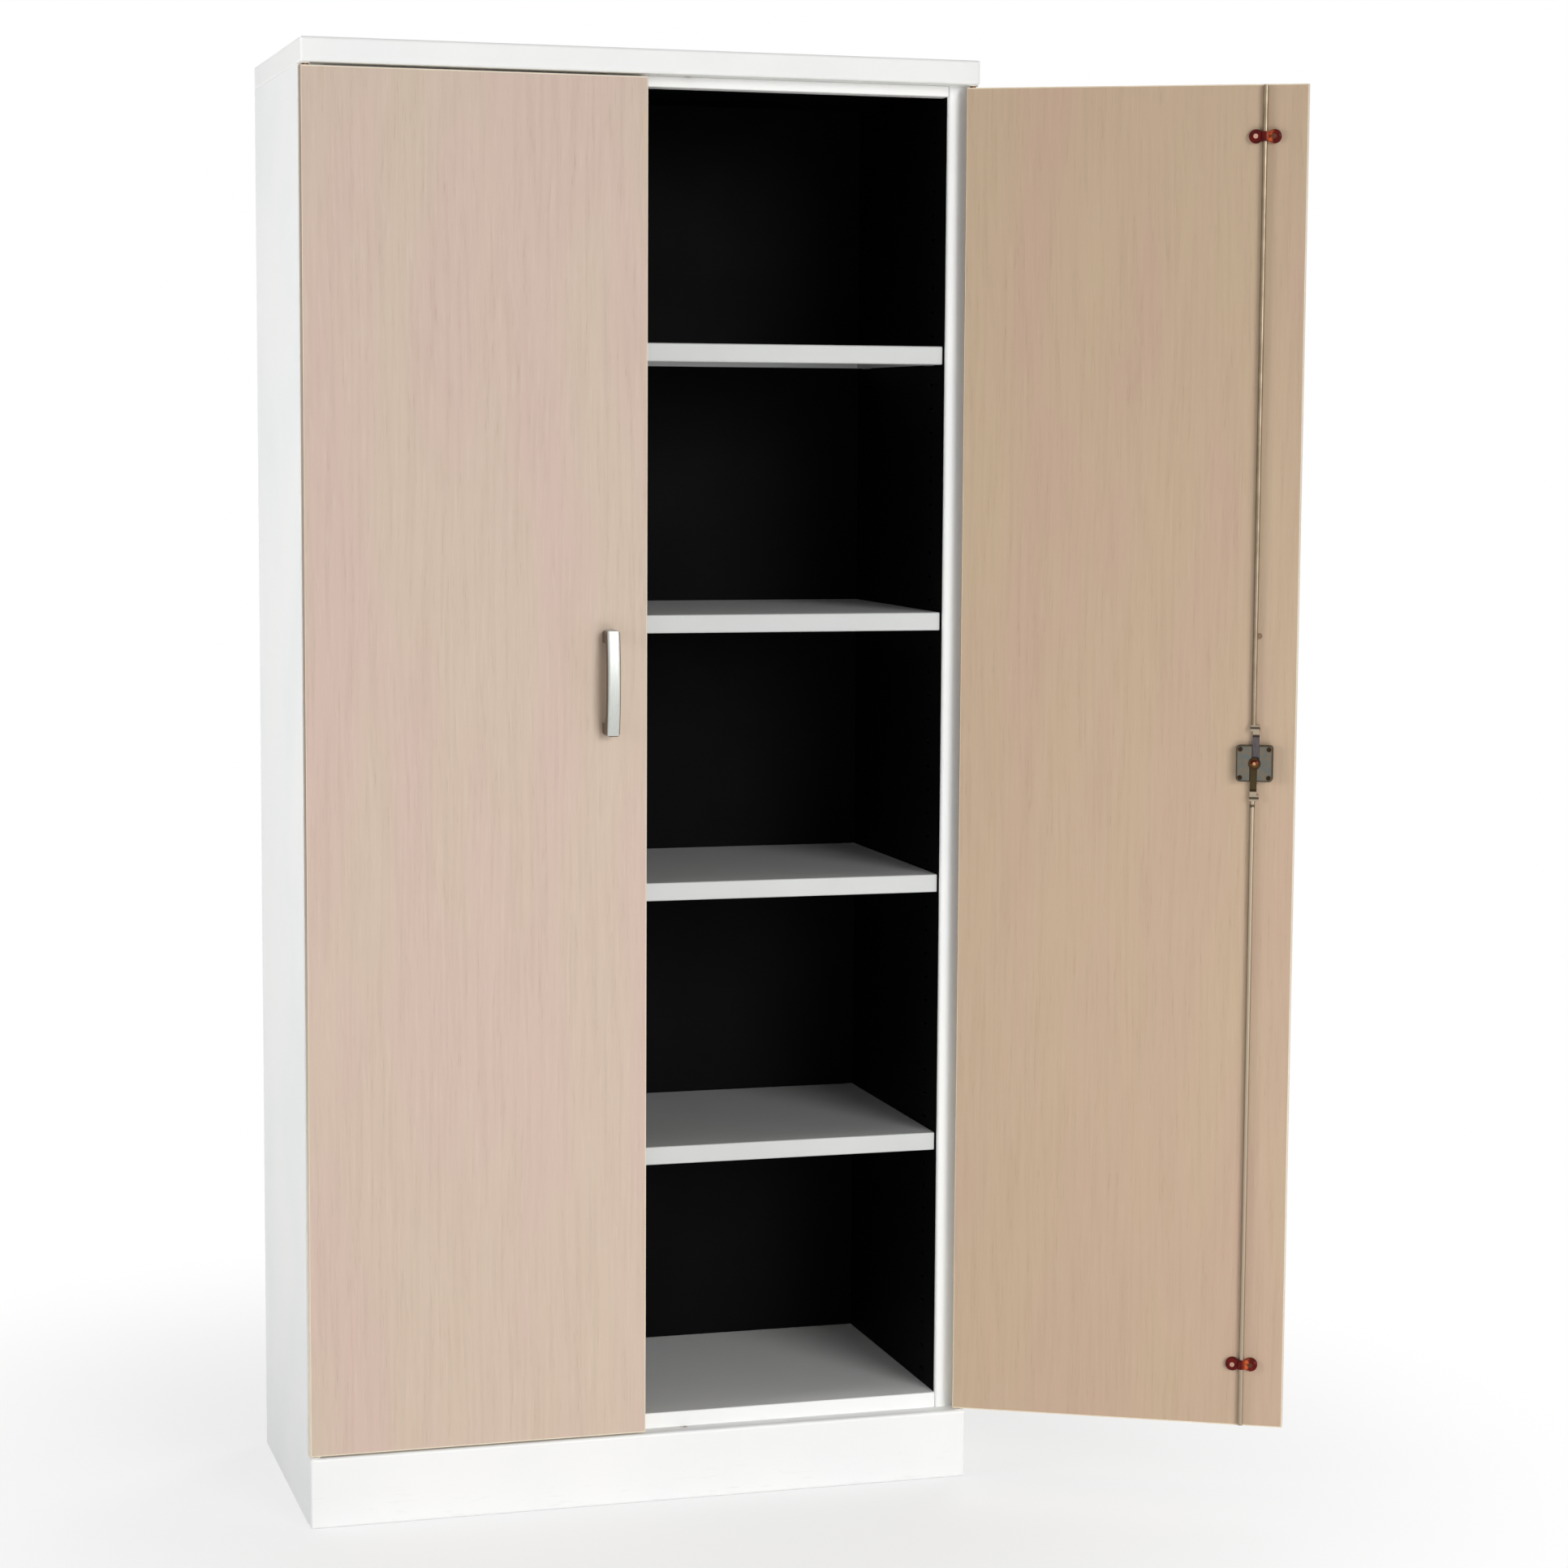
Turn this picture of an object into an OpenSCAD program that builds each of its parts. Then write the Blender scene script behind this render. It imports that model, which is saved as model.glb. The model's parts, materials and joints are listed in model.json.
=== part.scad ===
// Two-door filing cabinet: a white sheet steel carcass with four shelves behind full overlay
// oak-faced doors that turn on pin pivots. The left door stands closed, the right one open.
// Frame: origin on the floor under the middle of the carcass, +X right, +Y back, +Z up.

/* [Carcass] */
// Width over the side panels
cabinet_w = 930; // [800:10:1100]
// Depth from the door fronts to the back
cabinet_d = 430; // [400:5:560]
// Height from the floor to the top of the cap
cabinet_h = 1980; // [1960:5:2200]
// Thickness of the carcass sheet steel
sheet = 1; // [0.8:0.1:1.5]
// Outside radius of the folds
bend_r = 4; // [3:0.5:6]
// Outside radius of the small folds on rails and shelves
fold_r = 2.2; // [1.8:0.1:3]
// Height of the plinth
plinth_h = 97; // [80:1:120]
// Height of the cap on top
cap_h = 33; // [28:1:45]
// Width of the front returns beside the opening
stile_w = 37; // [34:1:55]
// Depth of the hem behind the inner edge of a front return
hem_d = 5; // [5:1:16]
// Height of the rail under the cap
rail_h = 15; // [12:1:25]
// Depth of the rail and of the tongue behind the plinth
rail_d = 25; // [18:1:40]
// Width of the flanges round the back and the top of the side panels
flange_w = 22; // [16:1:30]
// Width of the channel that carries the middle of the bottom shelf
base_rail_w = 60; // [40:2:90]

/* [Doors] */
// Thickness of a door
door_t = 18; // [17:1:20]
// Gap between the two doors
door_gap = 3; // [2:0.5:5]
// Gap between a door and the cap
door_top_gap = 4; // [3:0.5:6]
// Gap between a door and the plinth
door_bottom_gap = 3; // [2.5:0.5:5]
// Clear space between the closed doors and the front returns
door_behind_gap = 8; // [8:0.5:12]
// Thickness of the plastic edging round a door
edging_t = 1.5; // [1:0.1:2]
// Radius on the upright edges of a door
edge_r = 1.5; // [1:0.25:3]
// How far the right door stands open, in degrees
door_open = 152.4; // [90:0.1:160]
// Distance of the pivot axis from the hinge edge of a door
pivot_inset = 7.5; // [7.5:0.5:10]
// Diameter of the pivot pins
pin_d = 8; // [6:0.5:8]
// Length of a pivot pin inside the door
pin_grip = 30; // [20:1:45]

/* [Shelves] */
// Height of the bottom shelf above the plinth
bottom_rise = 21; // [16:1:30]
// Height of the lowest loose shelf above the bottom shelf
first_gap = 373; // [330:1:380]
// Pitch of the slots that the shelf clips hang in
slot_pitch = 33.4; // [30:0.1:35]
// Number of slots from one shelf to the next
slots_per_shelf = 11; // [9:1:11]
// Thickness of the shelf sheet steel
shelf_sheet = 1; // [0.8:0.1:1.5]
// Height of the folded edge of a shelf
shelf_lip = 25; // [20:1:35]
// Depth of the return under the front edge of a shelf
shelf_return = 12; // [8:1:20]
// Distance from the front returns back to the front of a shelf
shelf_setback = 10; // [6:1:20]
// Gap between a shelf and the wall beside it
shelf_gap = 1.6; // [1.5:0.1:2.5]
// Gap between a shelf and the wall behind it
shelf_back_gap = 2; // [1:0.5:6]

/* [Handles] */
// Distance of the handles and the lock from the middle of the cabinet
handle_x = 54; // [46:1:80]
// Height of the middle of the handles
handle_z = 1137.5; // [1100:0.5:1300]
// Length of a handle
handle_l = 144; // [130:1:170]
// Distance between the two screws of a handle
handle_pitch = 128; // [120:1:140]
// Width of a handle
handle_w = 19; // [14:1:24]
// Height of a handle over the door
handle_out = 30; // [24:1:36]
// Thickness of the grip of a handle
grip_t = 8; // [6:0.5:10]
// Radius on the long edges of a handle
handle_edge_r = 4; // [2:0.5:5]

/* [Lock] */
// Height of the lock
lock_z = 1028; // [960:1:1035]
// Width of the lock case
lock_w = 50; // [44:1:60]
// Height of the lock case
lock_h = 50; // [48:1:64]
// Depth of the lock case
lock_d = 12; // [12:0.5:16]
// Distance of the lock from the line of the handles, away from the middle
lock_shift = 2.5; // [0:0.5:4]
// Radius on which the two studs of the hub sit
stud_ring = 11; // [11:0.25:12]
// Diameter of the lock rods and of the bolts
rod_d = 6.5; // [5:0.25:6.5]
// Distance from the door to the axis of a rod
rod_lift = 4.3; // [4.2:0.05:4.4]
// Distance from the lock to the line of the rods
rod_shift = 2.3; // [1:0.1:2.5]
// Distance from the end of a door to the end of a drawn-back rod
rod_short = 1.5; // [1:0.25:6]
// Distance from the top of the door to the middle of the upper rod guide
guide_inset = 69.5; // [40:0.5:120]
// How much further the lower rod guide sits from its end of the door
guide_drop = 18.5; // [0:0.5:40]
// Width of a rod guide
guide_w = 44; // [42:1:56]
// Height of a rod guide
guide_h = 19; // [16:1:20]
// Travel of a bolt on the left door
bolt_throw = 14; // [10:1:16]

/* [Hidden] */

// Running and standing clearances
run_gap = 0.05;
joint_gap = 0.1;
free_gap = 0.3;
cut = 1;

// Main planes of the carcass
half_w = cabinet_w / 2;
front_y = -cabinet_d / 2;
back_y = cabinet_d / 2;
door_inner_y = front_y + door_t;
stile_y = door_inner_y + door_behind_gap;
opening_half = half_w - stile_w;
cap_z = cabinet_h - cap_h;
rail_z = cap_z - rail_h;
ceiling_z = cap_z - 2 * sheet;
rail_back_y = stile_y + rail_d;
back_panel_y = back_y - 2 * sheet;
back_liner_y = back_panel_y - sheet;
inner_half = half_w - bend_r - joint_gap;
liner_y = stile_y + hem_d;
liner_z = 1;
base_rail_t = 1.5;
base_rail_gap = 12;

// Shelves
bottom_z = plinth_h + bottom_rise;
bottom_gap = 0.6;
bottom_half = opening_half - bottom_gap;
bottom_front_y = stile_y + free_gap;
bottom_back_y = back_liner_y - bottom_gap;
shelf_pitch = slots_per_shelf * slot_pitch;
shelf_half = opening_half - shelf_gap;
shelf_front_y = stile_y + shelf_setback;
shelf_back_y = back_liner_y - shelf_back_gap;
shelf_count = 4;
function shelf_top(i) = bottom_z + first_gap + (i - 1) * shelf_pitch;

// Slots and clips in the side liners
slot_w = 14;
slot_h = 3.5;
clip_w = 18;
clip_t = 1.2;
clip_ledge = 9;
clip_h = 14;
clip_tongue_z = 6;
tongue_w = 13;
tongue_h = 2.5;
tongue_l = 4;
slot_inset = 55;
slot_margin = 20;
slot_y = [liner_y + slot_inset, back_liner_y - slot_inset];
slot_first_z = shelf_top(1) - shelf_lip + clip_tongue_z;
slots_below = floor((slot_first_z - bottom_z - slot_margin) / slot_pitch);
slots_above = floor((rail_z - slot_margin - slot_first_z) / slot_pitch);

// Doors and their pivots
door_free_x = door_gap / 2;
door_z0 = plinth_h + door_bottom_gap;
door_z1 = cap_z - door_top_gap;
pivot_x = half_w - pivot_inset;
pivot_y = front_y + door_t / 2;
pin_r = pin_d / 2;
pin_reach = 9;
bush_r = 6;
bush_flange_r = 7;
bush_flange_t = 1.5;
bush_l = 12;
shoulder_r = 6.5;

// Screws
screw_r = 2;
screw_head_r = 4;
screw_head_t = 2.5;
screw_bite = 11;
screw_slack = 0.25;
small_screw_r = 1.6;
small_head_r = 3.2;
small_head_t = 1.6;
small_bite = 11;
driver_w = 0.8;
driver_deep = 0.9;
driver_span = 0.62;

// Handles
handle_x0 = handle_x - handle_w / 2;
bow_rise = 6;
bow_r = (pow(handle_l / 2, 2) + pow(bow_rise, 2)) / (2 * bow_rise);
handle_corner_r = 12;
grip_corner_r = 8;
handle_end_r = 6;
leg_l = 18;

// Lock, rods and guides
lock_x = handle_x + lock_shift;
rod_x = lock_x + rod_shift;
rod_y = door_inner_y + rod_lift;
rod_r = rod_d / 2;
case_wall = 1.2;
case_base = 1.5;
case_r = 5;
case_step = 1;
hub_face_r = 8.5;
hub_flange_r = stud_ring + 2.2;
hub_flange_t = 2.5;
hub_gap = 0.5;
boss_r = 5.5;
boss_top_r = 3.2;
boss_rim_t = 0.6;
boss_dome_t = 1.2;
column_r = 3.5;
stud_r = 2;
stud_gap = 0.4;
link_lift = 5;
link_t = 2;
slot_slack = 0.7;
link_wall = 1.9;
rod_throw = 2 * stud_ring * sin(45);
stud_near = stud_ring * cos(45);
link_in = column_r + stud_gap;
link_out = stud_ring + stud_r + stud_gap + link_wall;
link_low = rod_throw / 2 + stud_r + slot_slack + link_wall;
link_top = lock_h / 2 - case_wall - rod_throw - free_gap;
shank_in = 3.2;
shank_out = 6;
channel_gap = 0.6;
collar_z = lock_h / 2 + 19;
collar_h = 8;
collar_in = 6;
collar_out = rod_shift + rod_r + 1;
collar_low = 0.5;
collar_cover = 0.55;
collar_top = rod_lift + rod_r + collar_cover;
collar_bore = 6;
lock_screw_inset = 5.5;
cylinder_r = 9;
rosette_r = 14;
rosette_t = 2;
plug_r = 6;
tail_w = 5;
key_t = 2.2;
key_blade_h = 7;
key_blade_in = 14;
key_neck = 9;
key_bow_r = 11;
key_hole_r = 4;
upper_rod_z1 = door_z1 - rod_short;
lower_rod_z0 = door_z0 + rod_short;
guide_lobe_r = guide_h / 2;
guide_base_t = 7;
guide_round_r = guide_base_t / 2;
guide_bridge_w = 13;
guide_bridge_h = 13;
guide_cover = 2.5;
guide_bridge_top = rod_lift + rod_r + guide_cover;
guide_screw_x = guide_w / 2 - guide_lobe_r;
guide_z = [door_z1 - guide_inset, door_z0 + guide_inset + guide_drop];

// Bolts on the left door
bolt_half = 30;
bolt_saddle_h = 10;
bolt_saddle_half = 6.5;
bolt_plate_half = 14;
bolt_plate_t = 1.5;
bolt_cover = 2;
bolt_end = 2;
bolt_screw_x = 10;
bolt_screw_z = 12;
bolt_inset = 55;
bolt_z = [door_z1 - bolt_inset, door_z0 + bolt_inset];
bolt_knob_r = 4;
bolt_knob_l = 10;
strike_slack = 0.5;
strike_r = rod_r + strike_slack;
strike_outer_r = 6;
strike_l = 14;
strike_flange_r = 8;
strike_flange_t = 1.2;

// A box from corner to corner
module block(x0, x1, y0, y1, z0, z1) {
    translate([x0, y0, z0]) cube([x1 - x0, y1 - y0, z1 - z0]);
}

// A flat rectangle with round corners
module round_rect(x0, x1, y0, y1, r) {
    translate([x0 + r, y0]) square([x1 - x0 - 2 * r, y1 - y0]);
    translate([x0, y0 + r]) square([x1 - x0, y1 - y0 - 2 * r]);
    for (x = [x0 + r, x1 - r], y = [y0 + r, y1 - r])
        translate([x, y]) circle(r = r, $fn = 48);
}

// A box whose edges along X are rounded, as a sheet folded about that direction
module fold(x0, x1, y0, y1, z0, z1, r) {
    translate([x0, 0, 0])
        rotate([90, 0, 90])
            linear_extrude(height = x1 - x0) round_rect(y0, y1, z0, z1, r);
}

// A box with every edge rounded, as a pressed tray
module tray(x0, x1, y0, y1, z0, z1, r) {
    intersection() {
        fold(x0, x1, y0, y1, z0, z1, r);
        translate([0, 0, z0])
            linear_extrude(height = z1 - z0) round_rect(x0, x1, y0, y1, r);
        translate([0, y1, 0])
            rotate([90, 0, 0])
                linear_extrude(height = y1 - y0) round_rect(x0, x1, z0, z1, r);
    }
}

// A cylinder that stands along Z
module post(x, y, z0, z1, r) {
    translate([x, y, z0]) cylinder(h = z1 - z0, r = r, $fn = 48);
}

// A cylinder that runs along Y, through a door
module peg(x, z, y0, y1, r) {
    translate([x, y0, z]) rotate([-90, 0, 0]) cylinder(h = y1 - y0, r = r, $fn = 48);
}

// The crossed slots that a screwdriver fits
module cross_recess(x, y, z, w) {
    block(x - w, x + w, y - driver_deep, y + cut, z - driver_w / 2, z + driver_w / 2);
    block(x - driver_w / 2, x + driver_w / 2, y - driver_deep, y + cut, z - w, z + w);
}

// Puts a piece drawn on the closed right door where the open door holds it
module on_right_door() {
    translate([pivot_x, pivot_y, 0])
        rotate([0, 0, door_open])
            translate([-pivot_x, -pivot_y, 0])
                children();
}

// Puts a piece drawn on the right side on the left side
module on_left() {
    mirror([1, 0, 0]) children();
}

// Folded side panel of the right side, with its front return, hem and flanges
module side_panel_shape() {
    difference() {
        linear_extrude(height = cap_z)
            round_rect(opening_half, half_w, stile_y, back_y, bend_r);
        translate([0, 0, -cut])
            linear_extrude(height = cap_z + 2 * cut)
                round_rect(opening_half + sheet, half_w - sheet, stile_y + sheet,
                    back_y - sheet, bend_r - sheet);
        block(opening_half - cut, half_w - flange_w, liner_y, back_y + cut, -cut, cap_z + cut);
    }
    block(half_w - flange_w, half_w - bend_r, stile_y + bend_r, back_y - bend_r,
        cap_z - sheet, cap_z);
    block(half_w - bend_r, half_w - sheet / 2, stile_y + bend_r, back_y - bend_r,
        cap_z - sheet, cap_z);
}

module left_side_panel() {
    color("gainsboro") on_left() side_panel_shape();
}

module right_side_panel() {
    color("gainsboro") side_panel_shape();
}

// Flat back, held between the rear flanges of the side panels
module back_panel() {
    color("gainsboro")
        block(-inner_half, inner_half, back_panel_y, back_panel_y + sheet, 0, cap_z);
}

// Pressed tray that closes the top and reaches over the doors
module top_cap() {
    color("whitesmoke")
        difference() {
            tray(-half_w, half_w, front_y, back_y, cap_z, cabinet_h, bend_r);
            tray(-half_w + sheet, half_w - sheet, front_y + sheet, back_y - sheet,
                cap_z + sheet, cabinet_h - sheet, bend_r - sheet);
            block(-half_w + flange_w, half_w - flange_w, rail_back_y, back_y - flange_w,
                cap_z - cut, cap_z + 2 * sheet);
            for (s = [-1, 1]) {
                post(s * pivot_x, pivot_y, cap_z - cut, cap_z + bend_r, bush_r + run_gap);
                post(s * rod_x, rod_y, cap_z - cut, cap_z + 2 * sheet,
                    strike_outer_r + run_gap);
            }
        }
}

// Folded plinth that carries the lower pivots
module plinth() {
    color("whitesmoke") {
        difference() {
            tray(-half_w, half_w, front_y, stile_y + 2 * bend_r, 0, plinth_h, bend_r);
            tray(-half_w + sheet, half_w - sheet, front_y + sheet, stile_y + 2 * bend_r,
                sheet, plinth_h - sheet, bend_r - sheet);
            block(-half_w - cut, half_w + cut, stile_y, stile_y + 3 * bend_r, -cut,
                plinth_h + cut);
            for (s = [-1, 1]) {
                post(s * pivot_x, pivot_y, plinth_h - bend_r, plinth_h + cut,
                    bush_r + run_gap);
                post(s * rod_x, rod_y, plinth_h - 2 * sheet, plinth_h + cut,
                    strike_outer_r + run_gap);
            }
        }
        difference() {
            block(-bottom_half, bottom_half, stile_y, rail_back_y, plinth_h - sheet, plinth_h);
            for (s = [-1, 1])
                post(s * rod_x, rod_y, plinth_h - 2 * sheet, plinth_h + cut,
                    strike_outer_r + run_gap);
        }
    }
}

// Channel on the floor that carries the middle of the bottom shelf
module base_rail() {
    r0 = base_rail_w / 2;
    y0 = rail_back_y + base_rail_gap;
    y1 = bottom_back_y - fold_r - free_gap;
    color("silver")
        difference() {
            block(-r0, r0, y0, y1, 0, bottom_z - sheet);
            block(-r0 + base_rail_t, r0 - base_rail_t, y0 - cut, y1 + cut, base_rail_t,
                bottom_z);
        }
}

// Bottom shelf, a folded tray turned over, standing on the plinth and the base rail
module bottom_shelf() {
    color("whitesmoke")
        difference() {
            fold(-bottom_half, bottom_half, bottom_front_y, bottom_back_y,
                plinth_h - 2 * fold_r, bottom_z, fold_r);
            fold(-bottom_half + sheet, bottom_half - sheet, bottom_front_y + sheet,
                bottom_back_y - sheet, plinth_h - 3 * fold_r, bottom_z - sheet,
                fold_r - sheet);
            block(-half_w, half_w, front_y, back_y, 0, plinth_h);
        }
}

// Front rail between the stiles, folded as a channel that opens to the back
module top_rail() {
    x1 = opening_half - joint_gap;
    color("whitesmoke")
        difference() {
            fold(-x1, x1, stile_y, rail_back_y + 2 * fold_r, rail_z, cap_z, fold_r);
            fold(-x1 - cut, x1 + cut, stile_y + sheet, rail_back_y + 3 * fold_r,
                rail_z + sheet, cap_z - sheet, fold_r - sheet);
            block(-half_w, half_w, rail_back_y, back_y, rail_z - cut, cap_z + cut);
        }
}

// Black sheet that closes the inside at the top
module ceiling_panel() {
    color("#141414")
        block(-inner_half, inner_half, rail_back_y + free_gap, back_panel_y, ceiling_z,
            ceiling_z + sheet);
}

// Black slotted wall of the right side, folded outwards front and back
module liner_shape() {
    difference() {
        block(opening_half, inner_half, liner_y, back_liner_y, liner_z, ceiling_z);
        block(opening_half + sheet, inner_half + cut, liner_y + sheet, back_liner_y - sheet,
            liner_z - cut, ceiling_z + cut);
        for (y = slot_y, k = [-slots_below : slots_above]) {
            z = slot_first_z + k * slot_pitch;
            block(opening_half - cut, opening_half + sheet + cut, y - slot_w / 2,
                y + slot_w / 2, z - slot_h / 2, z + slot_h / 2);
        }
    }
}

module left_liner() {
    color("#141414") on_left() liner_shape();
}

module right_liner() {
    color("#141414") liner_shape();
}

// Black sheet in front of the back panel
module back_liner() {
    color("#141414")
        block(-inner_half, inner_half, back_liner_y, back_panel_y, liner_z, ceiling_z);
}

// Folded shelf with a lip all round and a return under its front edge
module shelf(i) {
    z1 = shelf_top(i);
    z0 = z1 - shelf_lip;
    color("lightgray")
        difference() {
            fold(-shelf_half, shelf_half, shelf_front_y, shelf_back_y, z0, z1, fold_r);
            fold(-shelf_half + shelf_sheet, shelf_half - shelf_sheet,
                shelf_front_y + shelf_sheet, shelf_back_y - shelf_sheet, z0 + shelf_sheet,
                z1 - shelf_sheet, fold_r - shelf_sheet);
            block(-shelf_half + shelf_sheet, shelf_half - shelf_sheet,
                shelf_front_y + shelf_return, shelf_back_y - shelf_sheet, z0 - cut,
                z0 + 2 * shelf_sheet);
        }
}

module shelf_1() { shelf(1); }

module shelf_2() { shelf(2); }

module shelf_3() { shelf(3); }

module shelf_4() { shelf(4); }

// One clip of the right side: a plate, a ledge for the shelf and a tongue in the slot
module clip_shape(y, z) {
    block(opening_half - clip_t, opening_half, y - clip_w / 2, y + clip_w / 2, z - clip_t,
        z + clip_h);
    block(opening_half - clip_ledge, opening_half, y - clip_w / 2, y + clip_w / 2, z - clip_t,
        z);
    block(opening_half - clip_t, opening_half + tongue_l, y - tongue_w / 2, y + tongue_w / 2,
        z + clip_tongue_z - tongue_h / 2, z + clip_tongue_z + tongue_h / 2);
}

module shelf_clips() {
    color("silver")
        for (i = [1 : shelf_count], y = slot_y) {
            z = shelf_top(i) - shelf_lip;
            clip_shape(y, z);
            on_left() clip_shape(y, z);
        }
}

// Nylon bushes for the pivot pins, two in the cap and two in the plinth
module pivot_bushes() {
    color("whitesmoke")
        for (s = [-1, 1]) {
            difference() {
                union() {
                    post(s * pivot_x, pivot_y, cap_z - bush_flange_t, cap_z, bush_flange_r);
                    post(s * pivot_x, pivot_y, cap_z - bush_flange_t, cap_z + bush_l, bush_r);
                }
                post(s * pivot_x, pivot_y, cap_z - bush_l, cap_z + bush_l + cut,
                    pin_r + run_gap);
            }
            difference() {
                union() {
                    post(s * pivot_x, pivot_y, plinth_h, plinth_h + bush_flange_t,
                        bush_flange_r);
                    post(s * pivot_x, pivot_y, plinth_h - bush_l, plinth_h + bush_flange_t,
                        bush_r);
                }
                post(s * pivot_x, pivot_y, plinth_h - bush_l - cut, plinth_h + bush_l,
                    pin_r + run_gap);
            }
        }
}

// Nylon bushes that the rods and bolts shoot into, two in the cap and two in the plinth
module strike_bushes() {
    color("whitesmoke")
        for (s = [-1, 1]) {
            difference() {
                union() {
                    post(s * rod_x, rod_y, cap_z, cap_z + strike_l, strike_outer_r);
                    post(s * rod_x, rod_y, cap_z + sheet, cap_z + sheet + strike_flange_t,
                        strike_flange_r);
                }
                post(s * rod_x, rod_y, cap_z - cut, cap_z + strike_l + cut, strike_r);
            }
            difference() {
                union() {
                    post(s * rod_x, rod_y, plinth_h - strike_l, plinth_h, strike_outer_r);
                    post(s * rod_x, rod_y, plinth_h - sheet - strike_flange_t,
                        plinth_h - sheet, strike_flange_r);
                }
                post(s * rod_x, rod_y, plinth_h - strike_l - cut, plinth_h + cut, strike_r);
            }
        }
}

// Core board of a closed right door, without the holes of the fittings
module door_board_shape() {
    difference() {
        block(door_free_x + edging_t, half_w - edging_t, front_y, door_inner_y,
            door_z0 + edging_t, door_z1 - edging_t);
        post(pivot_x, pivot_y, door_z0 - cut, door_z0 + pin_grip, pin_r + run_gap);
        post(pivot_x, pivot_y, door_z1 - pin_grip, door_z1 + cut, pin_r + run_gap);
        for (z = [handle_z - handle_pitch / 2, handle_z + handle_pitch / 2]) {
            peg(handle_x, z, front_y - cut, door_inner_y + cut, screw_r + screw_slack);
            peg(handle_x, z, door_inner_y - screw_head_t - free_gap, door_inner_y + cut,
                screw_head_r + screw_slack);
        }
    }
}

// Plastic edging of a closed right door: two upright strips and two level ones
module door_edging_shape() {
    x0 = door_free_x;
    x1 = half_w;
    for (x = [x0, x1 - edging_t])
        intersection() {
            translate([0, 0, door_z0])
                linear_extrude(height = door_z1 - door_z0)
                    round_rect(x0, x1, front_y, door_inner_y, edge_r);
            block(x, x + edging_t, front_y - cut, door_inner_y + cut, door_z0 - cut,
                door_z1 + cut);
        }
    for (z = [door_z0, door_z1 - edging_t])
        difference() {
            block(x0 + edging_t + run_gap, x1 - edging_t - run_gap, front_y,
                door_inner_y, z, z + edging_t);
            post(pivot_x, pivot_y, z - cut, z + edging_t + cut, pin_r + run_gap);
        }
}

// Pivot pins of a closed right door, the lower one with a shoulder that carries the door
module pivot_pins_shape() {
    post(pivot_x, pivot_y, door_z1 - pin_grip + cut, cap_z + pin_reach, pin_r);
    post(pivot_x, pivot_y, plinth_h - pin_reach, door_z0 + pin_grip - cut, pin_r);
    post(pivot_x, pivot_y, plinth_h + bush_flange_t + free_gap, door_z0, shoulder_r);
}

// Ring round the bow's centre that rounds the long edges of a handle
module handle_edges() {
    r = handle_edge_r;
    translate([bow_r - handle_out, 0, 0])
        rotate_extrude($fn = 96) {
            square([bow_r - r, handle_w]);
            translate([0, r]) square([bow_r, handle_w - 2 * r]);
            for (z = [r, handle_w - r])
                translate([bow_r - r, z]) circle(r = r, $fn = 48);
        }
}

// Bow handle: the outline of its side, swept over its width, with round ends
module handle_shape() {
    half_l = handle_l / 2;
    gap_half = half_l - leg_l;
    translate([handle_x0, front_y, handle_z])
        rotate([90, 0, 90])
            difference() {
                intersection() {
                    linear_extrude(height = handle_w)
                        intersection() {
                            round_rect(-handle_out, handle_corner_r * 2, -half_l, half_l,
                                handle_corner_r);
                            translate([-handle_out, -half_l]) square([handle_out, handle_l]);
                        }
                    translate([-handle_out - cut, 0, 0])
                        rotate([0, 90, 0])
                            linear_extrude(height = handle_out + 2 * cut)
                                round_rect(-handle_w, 0, -half_l, half_l, handle_end_r);
                    handle_edges();
                }
                translate([0, 0, -cut])
                    linear_extrude(height = handle_w + 2 * cut)
                        intersection() {
                            round_rect(-handle_out + grip_t, grip_corner_r * 2, -gap_half,
                                gap_half, grip_corner_r);
                            translate([bow_r - handle_out, 0])
                                circle(r = bow_r - grip_t, $fn = 96);
                        }
                for (z = [-handle_pitch / 2, handle_pitch / 2])
                    translate([-screw_bite - cut, z, handle_w / 2])
                        rotate([0, 90, 0])
                            cylinder(h = screw_bite + 2 * cut, r = screw_r + run_gap, $fn = 48);
            }
}

// Two screws that hold a handle from inside the door
module handle_screws_shape() {
    for (z = [handle_z - handle_pitch / 2, handle_z + handle_pitch / 2])
        difference() {
            union() {
                peg(handle_x, z, front_y - screw_bite, door_inner_y, screw_r);
                peg(handle_x, z, door_inner_y - screw_head_t, door_inner_y, screw_head_r);
            }
            cross_recess(handle_x, door_inner_y, z, screw_head_r * driver_span);
        }
}

// Holes in the left door for the screws of the bolt housings
module left_door_panel() {
    color("#cbb9a5")
        on_left()
            difference() {
                door_board_shape();
                for (z = bolt_z, s = [-1, 1], t = [-1, 1])
                    peg(rod_x + s * bolt_screw_x, z + t * bolt_screw_z,
                        door_inner_y - small_bite - cut, door_inner_y + cut,
                        small_screw_r + run_gap);
            }
}

module left_door_edging() {
    color("#e6dcc8") on_left() door_edging_shape();
}

module left_handle() {
    color("silver") on_left() handle_shape();
}

module left_handle_screws() {
    color("silver") on_left() handle_screws_shape();
}

module left_pivot_pins() {
    color("silver") on_left() pivot_pins_shape();
}

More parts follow.
